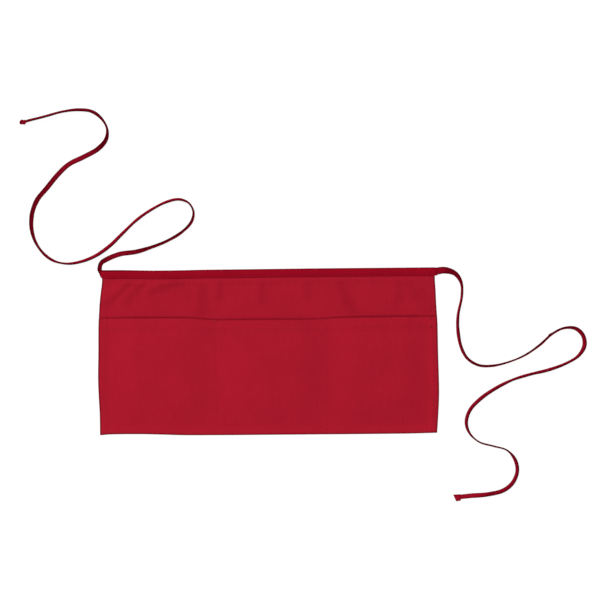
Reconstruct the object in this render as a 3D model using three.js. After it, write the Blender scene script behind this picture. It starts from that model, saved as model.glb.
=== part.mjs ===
// A three-pocket waist apron lying flat: one cloth hemmed at its sides and folded up
// from the bottom into pockets, its top edge bound in a waistband tape that runs on
// into two ties. Millimetres, X across, Y towards the waistband, Z up from the table.
import * as THREE from 'three';
import { mergeVertices } from 'three/addons/utils/BufferGeometryUtils.js';

// Driving sizes of the cloth
const apronWidth = 610;
const apronHeight = 297;
const clothThickness = 1;
const seamGap = 0.3;
const sideHemWidth = 10;
const hemStep = 3;

// Driving sizes of the pockets
const pocketDepth = 211;
const mouthHemDepth = 19;
const pocketRoom = 4.4;
const foldLip = 4;

// Driving sizes of the waistband, the ties and the knot
const bandHeight = 15;
const tapeThickness = 1;
const bandPastLeftEdge = 5.2;
const bandTurnUp = 9;
const bandPastRightEdge = 5;
const bandSeatRun = 15;
const wrinkleFadeAtBand = 10;
const tieWidth = 8;
const tieThickness = 2.4;
const tieEndGap = 0.3;
const knotLength = 13;
const knotWidth = 8.4;
const knotHeight = 7;
const knotDrop = 1.1;

// How finely the faceted solids are divided
const columnsPerPocket = 14;
const wrinkleRows = 9;
const pocketRows = 6;
const foldSteps = 4;
const tieSteps = 100;

// Side edges by height: height is a share of apronHeight from the bottom fold, left and
// right are shares of apronWidth out from the middle line.
const sideEdges = [
  { height: 0.00, left: 0.4955, right: 0.4930 },
  { height: 0.13, left: 0.4960, right: 0.4975 },
  { height: 0.24, left: 0.4985, right: 0.5000 },
  { height: 0.35, left: 0.5000, right: 0.4995 },
  { height: 0.50, left: 0.4985, right: 0.4980 },
  { height: 0.66, left: 0.4975, right: 0.4970 },
  { height: 0.78, left: 0.4945, right: 0.4940 },
  { height: 0.86, left: 0.4905, right: 0.4925 },
  { height: 0.93, left: 0.4862, right: 0.4905 },
  { height: 1.00, left: 0.4855, right: 0.4900 },
];

// Bottom fold: across is the share of the cloth's width from its left edge, rise is how
// far the fold lies above the lowest line, a share of apronHeight.
const bottomEdge = [
  { across: 0.00, rise: 0.0060 },
  { across: 0.03, rise: 0.0105 },
  { across: 0.12, rise: 0.0105 },
  { across: 0.18, rise: 0.0070 },
  { across: 0.25, rise: 0.0020 },
  { across: 0.36, rise: 0.0004 },
  { across: 0.50, rise: 0.0000 },
  { across: 0.90, rise: 0.0000 },
  { across: 1.00, rise: 0.0034 },
];

// Top of the waistband: dip is how far it lies below its highest line, a share of
// apronHeight.
const topEdge = [
  { across: 0.00, dip: 0.0000 },
  { across: 0.06, dip: 0.0006 },
  { across: 0.12, dip: 0.0034 },
  { across: 0.16, dip: 0.0050 },
  { across: 0.24, dip: 0.0045 },
  { across: 0.30, dip: 0.0026 },
  { across: 0.40, dip: 0.0020 },
  { across: 0.60, dip: 0.0005 },
  { across: 0.70, dip: 0.0000 },
  { across: 1.00, dip: 0.0000 },
];

// Pocket mouth: reach is its height above the lowest line, a share of pocketDepth.
const mouthEdge = [
  { across: 0.00, reach: 1.000 },
  { across: 0.26, reach: 0.996 },
  { across: 0.32, reach: 0.983 },
  { across: 0.36, reach: 0.978 },
  { across: 0.50, reach: 0.977 },
  { across: 0.64, reach: 0.977 },
  { across: 0.69, reach: 0.985 },
  { across: 0.76, reach: 0.990 },
  { across: 1.00, reach: 0.994 },
];

// Seams that close each pocket at its sides, as shares of the cloth's width.
const dividers = [0.346, 0.674];

// Creases of the cloth above the pockets. fromX and toX are shares of apronWidth from the
// middle line, fromY and toY shares of apronHeight from the bottom, spread and lift are
// the crease's half width and height as shares of apronHeight.
const creases = [
  { fromX: -0.406, fromY: 0.932, toX: -0.474, toY: 0.818, spread: 0.030, lift: 0.0095 },
  { fromX: -0.374, fromY: 0.932, toX: -0.421, toY: 0.817, spread: 0.030, lift: 0.0085 },
  { fromX: -0.268, fromY: 0.938, toX: -0.347, toY: 0.879, spread: 0.026, lift: 0.0100 },
  { fromX: -0.200, fromY: 0.892, toX: -0.201, toY: 0.753, spread: 0.034, lift: 0.0085 },
  { fromX: -0.148, fromY: 0.920, toX: -0.148, toY: 0.849, spread: 0.028, lift: 0.0065 },
  { fromX: -0.024, fromY: 0.919, toX: -0.025, toY: 0.828, spread: 0.030, lift: 0.0070 },
  { fromX: 0.108, fromY: 0.917, toX: 0.107, toY: 0.844, spread: 0.028, lift: 0.0065 },
  { fromX: 0.205, fromY: 0.915, toX: 0.222, toY: 0.806, spread: 0.028, lift: 0.0090 },
  { fromX: 0.222, fromY: 0.806, toX: 0.248, toY: 0.733, spread: 0.028, lift: 0.0080 },
  { fromX: 0.378, fromY: 0.924, toX: 0.377, toY: 0.821, spread: 0.028, lift: 0.0080 },
  { fromX: 0.401, fromY: 0.923, toX: 0.465, toY: 0.747, spread: 0.028, lift: 0.0090 },
  { fromX: 0.445, fromY: 0.880, toX: 0.474, toY: 0.771, spread: 0.026, lift: 0.0080 },
];

// Each tie's route over the table, from the end of the waistband that it leaves: x and y
// in mm, width as a share of tieWidth, roll in degrees from lying flat.
const leftTieRoute = [
  { x: 1.3, y: 7.9, width: 1.00, roll: 66 }, { x: 1.2, y: 13.5, width: 1.00, roll: 61 },
  { x: 4.1, y: 20.0, width: 1.00, roll: 44 }, { x: 12.2, y: 25.8, width: 1.00, roll: 30 },
  { x: 36.4, y: 35.7, width: 1.00, roll: 18 }, { x: 66.4, y: 39.7, width: 1.00, roll: 37 },
  { x: 94.3, y: 47.7, width: 1.00, roll: 67 }, { x: 122.6, y: 58.8, width: 1.00, roll: 72 },
  { x: 148.9, y: 74.4, width: 1.00, roll: 70 }, { x: 165.7, y: 91.8, width: 1.00, roll: 73 },
  { x: 170.0, y: 109.7, width: 1.00, roll: 82 }, { x: 161.8, y: 125.9, width: 1.00, roll: 78 },
  { x: 144.8, y: 133.0, width: 1.00, roll: 69 }, { x: 122.5, y: 128.9, width: 1.00, roll: 65 },
  { x: 94.8, y: 115.2, width: 1.00, roll: 66 }, { x: 69.4, y: 97.9, width: 1.00, roll: 65 },
  { x: 43.2, y: 73.7, width: 1.00, roll: 60 }, { x: 19.5, y: 51.1, width: 1.00, roll: 54 },
  { x: -5.1, y: 34.0, width: 1.00, roll: 54 }, { x: -30.7, y: 23.6, width: 1.00, roll: 64 },
  { x: -56.7, y: 19.7, width: 1.00, roll: 76 }, { x: -80.1, y: 24.8, width: 1.00, roll: 76 },
  { x: -99.2, y: 38.7, width: 1.00, roll: 74 }, { x: -113.2, y: 59.5, width: 1.00, roll: 71 },
  { x: -119.9, y: 84.1, width: 1.00, roll: 58 }, { x: -118.6, y: 110.0, width: 1.00, roll: 49 },
  { x: -109.6, y: 133.9, width: 1.00, roll: 39 }, { x: -92.3, y: 154.9, width: 1.00, roll: 33 },
  { x: -71.6, y: 179.7, width: 1.00, roll: 24 }, { x: -52.3, y: 197.4, width: 1.00, roll: 20 },
  { x: -24.2, y: 211.1, width: 1.00, roll: 18 }, { x: 0.5, y: 224.8, width: 1.00, roll: 35 },
  { x: 14.8, y: 241.3, width: 1.00, roll: 58 }, { x: 16.8, y: 259.8, width: 1.00, roll: 81 },
  { x: 6.6, y: 278.9, width: 1.00, roll: 73 }, { x: -10.5, y: 291.6, width: 1.00, roll: 57 },
  { x: -35.6, y: 294.8, width: 1.00, roll: 62 }, { x: -63.5, y: 291.5, width: 1.00, roll: 69 },
  { x: -95.6, y: 283.1, width: 1.00, roll: 65 }, { x: -127.1, y: 275.9, width: 1.00, roll: 65 },
];
const rightTieRoute = [
  { x: 0.9, y: 1.2, width: 1.56, roll: 0 }, { x: 12.8, y: 2.1, width: 1.42, roll: 0 },
  { x: 31.3, y: -4.1, width: 1.04, roll: 38 }, { x: 42.0, y: -20.8, width: 1.00, roll: 72 },
  { x: 42.8, y: -44.3, width: 1.00, roll: 73 }, { x: 35.8, y: -78.6, width: 1.00, roll: 71 },
  { x: 35.4, y: -106.7, width: 1.00, roll: 68 }, { x: 41.3, y: -137.0, width: 1.00, roll: 69 },
  { x: 52.4, y: -156.6, width: 1.00, roll: 73 }, { x: 72.0, y: -168.4, width: 1.00, roll: 72 },
  { x: 96.1, y: -169.7, width: 1.00, roll: 76 }, { x: 126.4, y: -162.8, width: 1.00, roll: 79 },
  { x: 155.6, y: -150.7, width: 1.00, roll: 77 }, { x: 182.6, y: -132.4, width: 1.00, roll: 73 },
  { x: 203.3, y: -114.0, width: 1.00, roll: 74 }, { x: 224.6, y: -103.5, width: 1.00, roll: 74 },
  { x: 245.6, y: -104.2, width: 1.00, roll: 56 }, { x: 258.9, y: -116.8, width: 1.00, roll: 54 },
  { x: 261.2, y: -135.2, width: 1.00, roll: 54 }, { x: 250.2, y: -153.0, width: 1.00, roll: 71 },
  { x: 227.5, y: -166.6, width: 1.00, roll: 75 }, { x: 195.8, y: -177.8, width: 1.00, roll: 68 },
  { x: 161.5, y: -185.9, width: 1.00, roll: 70 }, { x: 130.5, y: -195.6, width: 1.00, roll: 75 },
  { x: 99.7, y: -211.0, width: 1.00, roll: 66 }, { x: 73.2, y: -229.4, width: 1.00, roll: 62 },
  { x: 55.1, y: -249.2, width: 1.00, roll: 60 }, { x: 48.8, y: -270.5, width: 1.00, roll: 64 },
  { x: 54.4, y: -289.4, width: 1.00, roll: 80 }, { x: 71.3, y: -305.3, width: 1.00, roll: 84 },
  { x: 97.1, y: -313.2, width: 1.00, roll: 81 }, { x: 121.4, y: -320.8, width: 1.00, roll: 85 },
  { x: 135.3, y: -337.5, width: 1.00, roll: 67 }, { x: 139.2, y: -358.2, width: 1.00, roll: 67 },
  { x: 130.8, y: -379.0, width: 1.00, roll: 58 }, { x: 113.9, y: -392.5, width: 1.00, roll: 54 },
  { x: 86.9, y: -399.1, width: 1.00, roll: 46 }, { x: 55.1, y: -401.8, width: 0.97, roll: 22 },
  { x: 37.4, y: -403.5, width: 1.04, roll: 4 }, { x: 27.0, y: -405.1, width: 1.36, roll: 0 },
];

// The knot along its length: along and girth are shares of knotLength and of its width.
const knotTurns = [
  { along: 0.00, girth: 0.42 },
  { along: 0.12, girth: 0.78 },
  { along: 0.28, girth: 1.00 },
  { along: 0.48, girth: 0.84 },
  { along: 0.66, girth: 0.98 },
  { along: 0.88, girth: 0.70 },
  { along: 1.00, girth: 0.34 },
];

// A smooth curve through one column of a table, read at a place along another column.
function readTable(rows, keyColumn, valueColumn, place) {
  let row = 0;
  while (row < rows.length - 2 && place > rows[row + 1][keyColumn]) row += 1;
  const before = rows[Math.max(row - 1, 0)];
  const start = rows[row];
  const end = rows[row + 1];
  const after = rows[Math.min(row + 2, rows.length - 1)];
  const span = end[keyColumn] - start[keyColumn];
  const slope = (a, b) => (b[valueColumn] - a[valueColumn]) / (b[keyColumn] - a[keyColumn]);
  const startRise = slope(before, end) * span;
  const endRise = slope(start, after) * span;
  const t = THREE.MathUtils.clamp((place - start[keyColumn]) / span, 0, 1);
  const change = end[valueColumn] - start[valueColumn];
  const cubic = startRise + endRise - 2 * change;
  const square = 3 * change - 2 * startRise - endRise;
  return start[valueColumn] + t * (startRise + t * (square + t * cubic));
}

// Outline of the cloth
const lowestLine = -apronHeight / 2;
const heightShare = (y) => (y - lowestLine) / apronHeight;
const leftEdgeAt = (y) => -apronWidth * readTable(sideEdges, 'height', 'left', heightShare(y));
const rightEdgeAt = (y) => apronWidth * readTable(sideEdges, 'height', 'right', heightShare(y));
const xAt = (across, y) => THREE.MathUtils.lerp(leftEdgeAt(y), rightEdgeAt(y), across);
const foldLineAt = (across) => lowestLine + apronHeight * readTable(bottomEdge, 'across', 'rise', across);
const bandTopAt = (across) => -lowestLine - apronHeight * readTable(topEdge, 'across', 'dip', across);
const bandFootAt = (across) => bandTopAt(across) - bandHeight;
const mouthAt = (across) => lowestLine + pocketDepth * readTable(mouthEdge, 'across', 'reach', across);

// Side hems double the cloth for a short way in from each edge.
const hemShare = sideHemWidth / apronWidth;
const hemEndShare = (sideHemWidth + hemStep) / apronWidth;
function clothLayers(across) {
  const fromEdge = Math.min(across, 1 - across);
  return 1 + THREE.MathUtils.clamp((hemEndShare - fromEdge) / (hemEndShare - hemShare), 0, 1);
}
const leafAt = (across) => clothThickness * clothLayers(across);

// The fold at the bottom and the round at the top of the waistband
const foldInnerRadius = seamGap / 2;
const foldRadiusAt = (across) => foldInnerRadius + leafAt(across);
const bandInnerRadiusAt = (across) => seamGap + leafAt(across) / 2;
const bandRadiusAt = (across) => bandInnerRadiusAt(across) + tapeThickness;

// Places across the cloth: its edges, its hems, and each pocket divided evenly.
function columnsAcross() {
  const seams = [hemEndShare, ...dividers, 1 - hemEndShare];
  const columns = [0, hemShare];
  for (let pocket = 0; pocket < seams.length - 1; pocket += 1) {
    for (let step = 0; step < columnsPerPocket; step += 1) {
      columns.push(THREE.MathUtils.lerp(seams[pocket], seams[pocket + 1], step / columnsPerPocket));
    }
  }
  columns.push(1 - hemEndShare, 1 - hemShare, 1);
  return columns;
}

// A closed solid from a grid of point pairs, one pair for each place on the cloth: the
// point on its inner face and the point on its outer face.
function thickSheet(columns) {
  const positions = [];
  const indices = [];
  const rows = columns[0].length;
  columns.forEach((column) => column.forEach(({ inner, outer }) => positions.push(...inner, ...outer)));
  const inner = (i, j) => 2 * (i * rows + j);
  const outer = (i, j) => inner(i, j) + 1;
  const quad = (a, b, c, d) => indices.push(a, b, c, a, c, d);
  const lastColumn = columns.length - 1;
  const lastRow = rows - 1;
  for (let i = 0; i < lastColumn; i += 1) {
    for (let j = 0; j < lastRow; j += 1) {
      quad(outer(i, j), outer(i + 1, j), outer(i + 1, j + 1), outer(i, j + 1));
      quad(inner(i, j), inner(i, j + 1), inner(i + 1, j + 1), inner(i + 1, j));
    }
    quad(inner(i, 0), inner(i + 1, 0), outer(i + 1, 0), outer(i, 0));
    quad(outer(i, lastRow), outer(i + 1, lastRow), inner(i + 1, lastRow), inner(i, lastRow));
  }
  for (let j = 0; j < lastRow; j += 1) {
    quad(inner(0, j), outer(0, j), outer(0, j + 1), inner(0, j + 1));
    quad(outer(lastColumn, j), inner(lastColumn, j), inner(lastColumn, j + 1), outer(lastColumn, j + 1));
  }
  return geometryFrom(positions, indices);
}

function geometryFrom(positions, indices) {
  const geometry = new THREE.BufferGeometry();
  geometry.setAttribute('position', new THREE.Float32BufferAttribute(positions, 3));
  geometry.setIndex(indices);
  const merged = mergeVertices(geometry);
  merged.computeVertexNormals();
  return merged;
}

// Heights at which the back cloth and the pocket cloth over it are both divided.
function pocketHeights(across) {
  const foldCentre = foldLineAt(across) + foldRadiusAt(across);
  const hemFoot = mouthAt(across) - mouthHemDepth;
  const heights = [];
  for (let row = 1; row <= pocketRows; row += 1) {
    heights.push(THREE.MathUtils.lerp(foldCentre, hemFoot - hemStep, row / pocketRows));
  }
  return [...heights, hemFoot, mouthAt(across)];
}

// Height of the creased cloth over the table, above the pockets.
function creaseLift(x, y) {
  let lift = 0;
  for (const crease of creases) {
    const start = new THREE.Vector2(crease.fromX * apronWidth, lowestLine + crease.fromY * apronHeight);
    const end = new THREE.Vector2(crease.toX * apronWidth, lowestLine + crease.toY * apronHeight);
    const run = end.clone().sub(start);
    const place = new THREE.Vector2(x, y);
    const share = THREE.MathUtils.clamp(place.clone().sub(start).dot(run) / run.lengthSq(), 0, 1);
    const distance = place.distanceTo(start.addScaledVector(run, share));
    const spread = crease.spread * apronHeight;
    lift = Math.max(lift, crease.lift * apronHeight * Math.exp(-((distance / spread) ** 2)));
  }
  return lift;
}

// Underside of the back cloth: flat behind the pockets, creased above them, and lifted
// onto the waistband's back leaf at the top.
function bodyUnderside(across, y) {
  const bandFoot = bandFootAt(across);
  const aboveMouth = THREE.MathUtils.smoothstep(y, mouthAt(across), mouthAt(across) + mouthHemDepth);
  const belowBand = 1 - THREE.MathUtils.smoothstep(y, bandFoot - wrinkleFadeAtBand, bandFoot);
  const seat = (tapeThickness + seamGap) * THREE.MathUtils.smoothstep(y, bandFoot - bandSeatRun, bandFoot);
  return seat + aboveMouth * belowBand * creaseLift(xAt(across, y), y);
}

function bodyPanel() {
  const columns = columnsAcross().map((across) => {
    const bottom = foldLineAt(across) + foldRadiusAt(across) + foldLip + seamGap;
    const top = bandTopAt(across) - bandRadiusAt(across);
    const mouth = mouthAt(across);
    const heights = [bottom, ...pocketHeights(across)];
    for (let row = 1; row <= wrinkleRows; row += 1) {
      heights.push(THREE.MathUtils.lerp(mouth, bandFootAt(across), row / wrinkleRows));
    }
    heights.push(top);
    return heights.map((y) => {
      const x = xAt(across, y);
      const z = bodyUnderside(across, y);
      return { inner: [x, y, z], outer: [x, y, z + leafAt(across)] };
    });
  });
  return thickSheet(columns);
}

// How far a pocket stands off the back cloth: flat in its middle, nothing at its seams.
const pocketSeams = [hemEndShare, ...dividers, 1 - hemEndShare];
const pocketShoulder = 0.26;
const pocketFootShare = 0.34;
function pocketStandOff(across, y) {
  const pocket = pocketSeams.findIndex((seam, k) => k > 0 && across <= seam) - 1;
  if (pocket < 0 || across <= pocketSeams[0]) return 0;
  const share = (across - pocketSeams[pocket]) / (pocketSeams[pocket + 1] - pocketSeams[pocket]);
  const sideways = THREE.MathUtils.smoothstep(Math.min(share, 1 - share), 0, pocketShoulder);
  const foot = foldLineAt(across);
  const upwards = THREE.MathUtils.smoothstep(y, foot, foot + pocketFootShare * pocketDepth);
  return pocketRoom * sideways * upwards;
}

function pocketPanel() {
  const columns = columnsAcross().map((across) => {
    const leaf = leafAt(across);
    const foldRadius = foldRadiusAt(across);
    const foldCentre = foldLineAt(across) + foldRadius;
    const lipEnd = foldCentre + foldLip;
    const hemFoot = mouthAt(across) - mouthHemDepth;
    const column = [{ inner: [xAt(across, lipEnd), lipEnd, leaf], outer: [xAt(across, lipEnd), lipEnd, 0] }];
    for (let step = 0; step <= foldSteps; step += 1) {
      const angle = -Math.PI / 2 - (Math.PI * step) / foldSteps;
      const onArc = (radius) => [
        xAt(across, foldCentre),
        foldCentre + radius * Math.cos(angle),
        foldRadius + radius * Math.sin(angle),
      ];
      column.push({ inner: onArc(foldInnerRadius), outer: onArc(foldRadius) });
    }
    for (const y of pocketHeights(across)) {
      const inside = leaf + seamGap + pocketStandOff(across, y);
      const thickness = y < hemFoot ? leaf : leaf + clothThickness;
      column.push({ inner: [xAt(across, y), y, inside], outer: [xAt(across, y), y, inside + thickness] });
    }
    return column;
  });
  return thickSheet(columns);
}

// The waistband's left end is turned up into the tie: at a share of bandPastLeftEdge beyond
// the cloth, its foot has risen by a share of bandTurnUp.
const bandEndTurn = [
  { past: 1.0, rise: 1.0 }, { past: 0.82, rise: 0.62 }, { past: 0.55, rise: 0.33 }, { past: 0.25, rise: 0.1 },
];

// The waistband tape, folded over the top edge of the back cloth.
const bandLeftEnd = leftEdgeAt(-lowestLine) - bandPastLeftEdge;
const bandRightEnd = rightEdgeAt(-lowestLine) + bandPastRightEdge;
function waistband() {
  const acrossPlaces = columnsAcross();
  const turned = bandEndTurn.map(({ past, rise }) => (
    { across: 0, x: bandLeftEnd + bandPastLeftEdge * (1 - past), footRise: bandTurnUp * rise }
  ));
  const sewn = acrossPlaces.map((across) => ({ across, x: xAt(across, bandFootAt(across)), footRise: 0 }));
  const sections = [...turned, ...sewn, { across: 1, x: bandRightEnd, footRise: 0 }];
  const columns = sections.map(({ across, x, footRise }) => {
    const innerRadius = bandInnerRadiusAt(across);
    const outerRadius = bandRadiusAt(across);
    const foot = bandFootAt(across) + footRise;
    const roundCentre = bandTopAt(across) - outerRadius;
    const column = [{ inner: [x, foot, outerRadius + innerRadius], outer: [x, foot, 2 * outerRadius] }];
    for (let step = 0; step <= foldSteps; step += 1) {
      const angle = Math.PI / 2 - (Math.PI * step) / foldSteps;
      const onArc = (radius) => [
        x,
        roundCentre + radius * Math.cos(angle),
        outerRadius + radius * Math.sin(angle),
      ];
      column.push({ inner: onArc(innerRadius), outer: onArc(outerRadius) });
    }
    column.push({ inner: [x, foot, outerRadius - innerRadius], outer: [x, foot, 0] });
    return column;
  });
  return thickSheet(columns);
}

// Corners of the tie's folded tape in section, as shares of half its width and thickness.
const tieSection = [
  [1, -0.45], [1, 0.45], [0.74, 1], [-0.74, 1], [-1, 0.45], [-1, -0.45], [-0.74, -1], [0.74, -1],
];

// A closed tube through rings of equal corner counts, capped at both ends.
function ringLoft(rings) {
  const corners = rings[0].length;
  const positions = rings.flat().flatMap((corner) => corner.toArray());
  const indices = [];
  for (let ring = 0; ring < rings.length - 1; ring += 1) {
    for (let corner = 0; corner < corners; corner += 1) {
      const next = (corner + 1) % corners;
      const here = ring * corners;
      const ahead = here + corners;
      indices.push(here + corner, here + next, ahead + next, here + corner, ahead + next, ahead + corner);
    }
  }
  const last = (rings.length - 1) * corners;
  for (let corner = 1; corner < corners - 1; corner += 1) {
    indices.push(0, corner + 1, corner);
    indices.push(last, last + corner, last + corner + 1);
  }
  return geometryFrom(positions, indices);
}

// A tie laid on the table: each ring is turned by its roll and set down on the surface.
function tie(route) {
  const path = new THREE.CatmullRomCurve3(route.map(({ x, y }) => new THREE.Vector3(x, y, 0)), false, 'centripetal');
  path.arcLengthDivisions = 40 * route.length;
  const rows = route.map((row, index) => ({ ...row, place: index / (route.length - 1) }));
  const rings = [];
  for (let step = 0; step <= tieSteps; step += 1) {
    const place = path.getUtoTmapping(step / tieSteps);
    const centre = path.getPoint(place);
    const ahead = path.getTangent(place);
    const sideways = new THREE.Vector3(-ahead.y, ahead.x, 0);
    const roll = THREE.MathUtils.degToRad(readTable(rows, 'place', 'roll', place));
    const halfWidth = (tieWidth / 2) * readTable(rows, 'place', 'width', place);
    const ring = tieSection.map(([wide, thick]) => {
      const w = wide * halfWidth;
      const t = thick * (tieThickness / 2);
      const corner = centre.clone().addScaledVector(sideways, w * Math.cos(roll) - t * Math.sin(roll));
      corner.z = w * Math.sin(roll) + t * Math.cos(roll);
      return corner;
    });
    const lowest = Math.min(...ring.map((corner) => corner.z));
    ring.forEach((corner) => { corner.z -= lowest; });
    rings.push(ring);
  }
  return ringLoft(rings);
}

// The knot at the left tie's end: a rounded lump with the grooves of its turns.
const knotCorners = 12;
function knot() {
  const rings = knotTurns.map(({ along, girth }) => {
    const ring = [];
    for (let corner = 0; corner < knotCorners; corner += 1) {
      const angle = (2 * Math.PI * corner) / knotCorners;
      ring.push(new THREE.Vector3(
        knotLength * along,
        (knotWidth / 2) * girth * Math.cos(angle),
        knotHeight / 2 + (knotHeight / 2) * girth * Math.sin(angle),
      ));
    }
    return ring;
  });
  return ringLoft(rings);
}

// The assembly
const redCloth = new THREE.MeshStandardMaterial({ color: 0xa5152a, roughness: 0.9, metalness: 0 });
const redTape = new THREE.MeshStandardMaterial({ color: 0x96061c, roughness: 0.85, metalness: 0 });
const redTie = new THREE.MeshStandardMaterial({ color: 0x85001a, roughness: 0.85, metalness: 0 });

function piece(name, geometry, material) {
  const mesh = new THREE.Mesh(geometry, material);
  mesh.name = name;
  return mesh;
}

const apron = new THREE.Group();
apron.add(piece('body_panel', bodyPanel(), redCloth));
apron.add(piece('pocket_panel', pocketPanel(), redCloth));
apron.add(piece('waistband', waistband(), redTape));

const bandMiddle = -lowestLine - bandHeight / 2;
const leftTie = piece('tie_left', tie(leftTieRoute), redTie);
leftTie.position.set(bandLeftEnd, bandMiddle, 0);
apron.add(leftTie);

const rightTie = piece('tie_right', tie(rightTieRoute), redTie);
rightTie.position.set(bandRightEnd, bandMiddle, 0);
apron.add(rightTie);

// The knot sits on the far end of the left tie, along its last stretch and a little to one
// side of it.
const lastPoint = leftTieRoute[leftTieRoute.length - 1];
const pointBefore = leftTieRoute[leftTieRoute.length - 2];
const tieEndAngle = Math.atan2(lastPoint.y - pointBefore.y, lastPoint.x - pointBefore.x);
const endKnot = piece('tie_left_knot', knot(), redTie);
endKnot.rotation.z = tieEndAngle;
endKnot.position.set(
  bandLeftEnd + lastPoint.x + tieEndGap * Math.cos(tieEndAngle) - knotDrop * Math.sin(tieEndAngle),
  bandMiddle + lastPoint.y + tieEndGap * Math.sin(tieEndAngle) + knotDrop * Math.cos(tieEndAngle),
  0,
);
apron.add(endKnot);

export default apron;
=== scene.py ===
import math

import bpy
import numpy as np
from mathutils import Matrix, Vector, noise


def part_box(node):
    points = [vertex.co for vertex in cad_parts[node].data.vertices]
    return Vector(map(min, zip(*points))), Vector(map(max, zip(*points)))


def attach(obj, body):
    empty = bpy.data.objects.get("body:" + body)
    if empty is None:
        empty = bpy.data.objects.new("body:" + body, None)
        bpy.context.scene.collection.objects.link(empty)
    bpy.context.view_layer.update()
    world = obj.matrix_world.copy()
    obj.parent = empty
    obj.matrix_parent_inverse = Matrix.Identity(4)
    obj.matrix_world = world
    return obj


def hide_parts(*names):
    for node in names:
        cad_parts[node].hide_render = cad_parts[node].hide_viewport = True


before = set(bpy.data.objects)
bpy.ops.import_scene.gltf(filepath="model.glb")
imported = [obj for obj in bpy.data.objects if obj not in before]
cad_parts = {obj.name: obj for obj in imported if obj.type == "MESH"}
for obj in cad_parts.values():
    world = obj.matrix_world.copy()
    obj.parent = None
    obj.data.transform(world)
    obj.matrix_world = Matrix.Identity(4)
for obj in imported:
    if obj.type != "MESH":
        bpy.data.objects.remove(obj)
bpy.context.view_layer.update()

# Back cloth
# The apron is one piece of plain-woven cotton blend, turned back and stitched in a
# narrow hem down both sides. Laid flat, it keeps the creases that fan out below the
# waistband, where the tape was sewn on a little tighter than the cloth.
mm = 0.001
cloth = 1.0 * mm
seam_gap = 0.3 * mm
side_hem = 10 * mm
hem_settle = 8 * mm
hem_fullness = 0.4
stitch_inset = 1.3 * mm
thread_proud = 0.06 * mm
bobbin_proud = 0.02 * mm
edge_shade = 1.8
edge_shade_reach = 1.9 * mm
band_height = 15 * mm
body_low, body_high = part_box("body_panel")
pocket_low, pocket_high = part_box("pocket_panel")
band_low, band_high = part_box("waistband")
apron_width = body_high.x - body_low.x
lowest_line = pocket_low.y
highest_line = band_high.y
apron_height = highest_line - lowest_line
pocket_depth = pocket_high.y - pocket_low.y

# Share of the height, then how far the left and right edges lie from the middle line,
# as shares of the width.
side_edges = (
    (0.00, 0.4955, 0.4930), (0.13, 0.4960, 0.4975), (0.24, 0.4985, 0.5000),
    (0.35, 0.5000, 0.4995), (0.50, 0.4985, 0.4980), (0.66, 0.4975, 0.4970),
    (0.78, 0.4945, 0.4940), (0.86, 0.4905, 0.4925), (0.93, 0.4862, 0.4905),
    (1.00, 0.4855, 0.4900),
)
# Share of the width from the left edge, then a rise, dip or reach as a share of the
# height, or of the pocket's depth for its mouth.
bottom_edge = (
    (0.00, 0.0060), (0.03, 0.0105), (0.12, 0.0105), (0.18, 0.0070), (0.25, 0.0020),
    (0.36, 0.0004), (0.50, 0.0), (0.90, 0.0), (1.00, 0.0034),
)
top_edge = (
    (0.00, 0.0), (0.06, 0.0006), (0.12, 0.0034), (0.16, 0.0050), (0.24, 0.0045),
    (0.30, 0.0026), (0.40, 0.0020), (0.60, 0.0005), (0.70, 0.0), (1.00, 0.0),
)
mouth_edge = (
    (0.00, 1.000), (0.26, 0.996), (0.32, 0.983), (0.36, 0.978), (0.50, 0.977),
    (0.64, 0.977), (0.69, 0.985), (0.76, 0.990), (1.00, 0.994),
)
# Creases: start and end as shares of the width from the middle and of the height from
# the bottom, then half width and lift as shares of the height.
creases = (
    (-0.406, 0.932, -0.474, 0.818, 0.030, 0.0095),
    (-0.374, 0.932, -0.421, 0.817, 0.030, 0.0085),
    (-0.268, 0.938, -0.347, 0.879, 0.026, 0.0100),
    (-0.200, 0.892, -0.201, 0.753, 0.034, 0.0085),
    (-0.148, 0.920, -0.148, 0.849, 0.028, 0.0065),
    (-0.024, 0.919, -0.025, 0.828, 0.030, 0.0070),
    (0.108, 0.917, 0.107, 0.844, 0.028, 0.0065),
    (0.205, 0.915, 0.222, 0.806, 0.028, 0.0090),
    (0.222, 0.806, 0.248, 0.733, 0.028, 0.0080),
    (0.378, 0.924, 0.377, 0.821, 0.028, 0.0080),
    (0.401, 0.923, 0.465, 0.747, 0.028, 0.0090),
    (0.445, 0.880, 0.474, 0.771, 0.026, 0.0080),
)


def read_rows(rows, places, column=1):
    """A smooth curve through one column of some rows, read at many places."""
    keys = np.array([row[0] for row in rows])
    values = np.array([row[column] for row in rows])
    slopes = np.gradient(values, keys)
    slopes[1:-1] = (values[2:] - values[:-2]) / (keys[2:] - keys[:-2])
    row = np.clip(np.searchsorted(keys, places, side="right") - 1, 0, len(keys) - 2)
    span = keys[row + 1] - keys[row]
    t = np.clip((places - keys[row]) / span, 0, 1)
    start, end = values[row], values[row + 1]
    leave, arrive = slopes[row] * span, slopes[row + 1] * span
    change = end - start
    return start + t * (leave + t * (3 * change - 2 * leave - arrive + t * (leave + arrive - 2 * change)))


def smooth(value, low, high):
    t = np.clip((value - low) / (high - low), 0, 1)
    return t * t * (3 - 2 * t)


def place_across(across, y):
    """x of a place across the cloth, at height y."""
    share = (y - lowest_line) / apron_height
    left = -apron_width * read_rows(side_edges, share, 1)
    right = apron_width * read_rows(side_edges, share, 2)
    return left + (right - left) * across


def fold_line(across):
    return lowest_line + apron_height * read_rows(bottom_edge, across)


def band_top(across):
    return highest_line - apron_height * read_rows(top_edge, across)


def mouth_line(across):
    return lowest_line + pocket_depth * read_rows(mouth_edge, across)


def edge_distance(across):
    return np.minimum(across, 1 - across) * apron_width


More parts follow.
